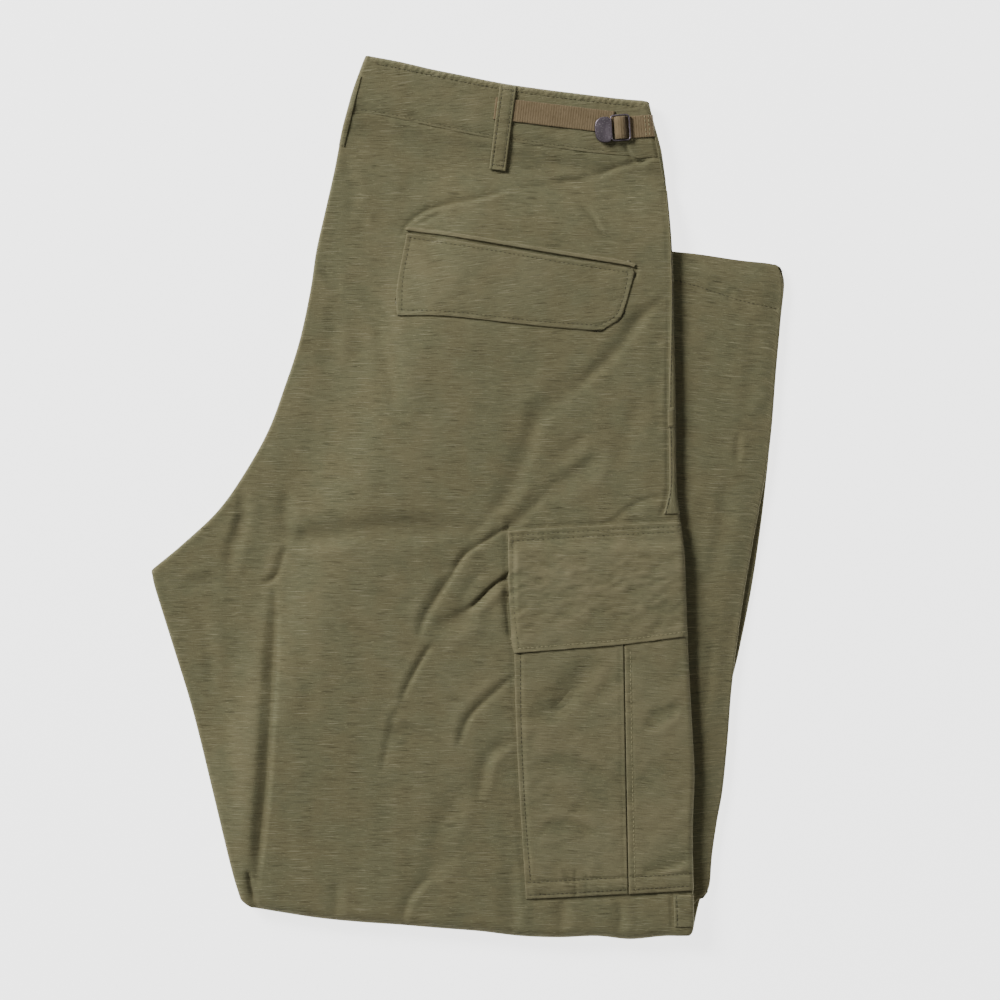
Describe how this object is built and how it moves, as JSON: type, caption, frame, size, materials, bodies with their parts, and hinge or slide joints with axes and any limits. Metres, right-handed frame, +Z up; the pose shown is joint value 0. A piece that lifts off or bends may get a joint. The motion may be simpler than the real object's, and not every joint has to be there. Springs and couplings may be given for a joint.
{
  "type": "cargo pants",
  "caption": "Olive ripstop cargo trousers folded flat, in half and under at the knee, with a flapped seat pocket, a pleated leg pocket and a webbing waist adjuster.",
  "frame": {"origin": "under the middle of the folded garment's box, on the surface it lies on", "axes": "+X from the centre-back seam to the side seam, +Y from the knee fold to the waistband, +Z up from the surface"},
  "size_m": [0.4573, 0.6352, 0.0205],
  "materials": {
    "olive_ripstop": "matt ripstop cotton with fine slubs, washed",
    "brown_webbing": "matt flat-woven tape",
    "dark_metal": "dark lacquered die casting, satin"
  },
  "bodies": {
    "root": {"right_back_panel": "olive_ripstop", "left_back_panel": "olive_ripstop", "hidden_layers": "olive_ripstop", "left_lower_leg": "olive_ripstop", "right_lower_leg": "olive_ripstop", "right_waistband": "olive_ripstop", "left_waistband": "olive_ripstop", "right_side_seam_upper": "olive_ripstop", "right_side_seam_lower": "olive_ripstop", "back_pocket_flap": "olive_ripstop", "back_pocket_lip": "olive_ripstop", "cargo_pocket_back": "olive_ripstop", "cargo_pocket_front": "olive_ripstop", "cargo_flap": "olive_ripstop", "belt_loop_back": "olive_ripstop", "belt_loop_centre": "olive_ripstop", "belt_loop_side": "olive_ripstop", "seam_loop": "olive_ripstop", "adjuster_strap": "brown_webbing", "adjuster_turn": "brown_webbing", "adjuster_end": "brown_webbing", "adjuster_buckle": "dark_metal"}
  },
  "joints": []
}
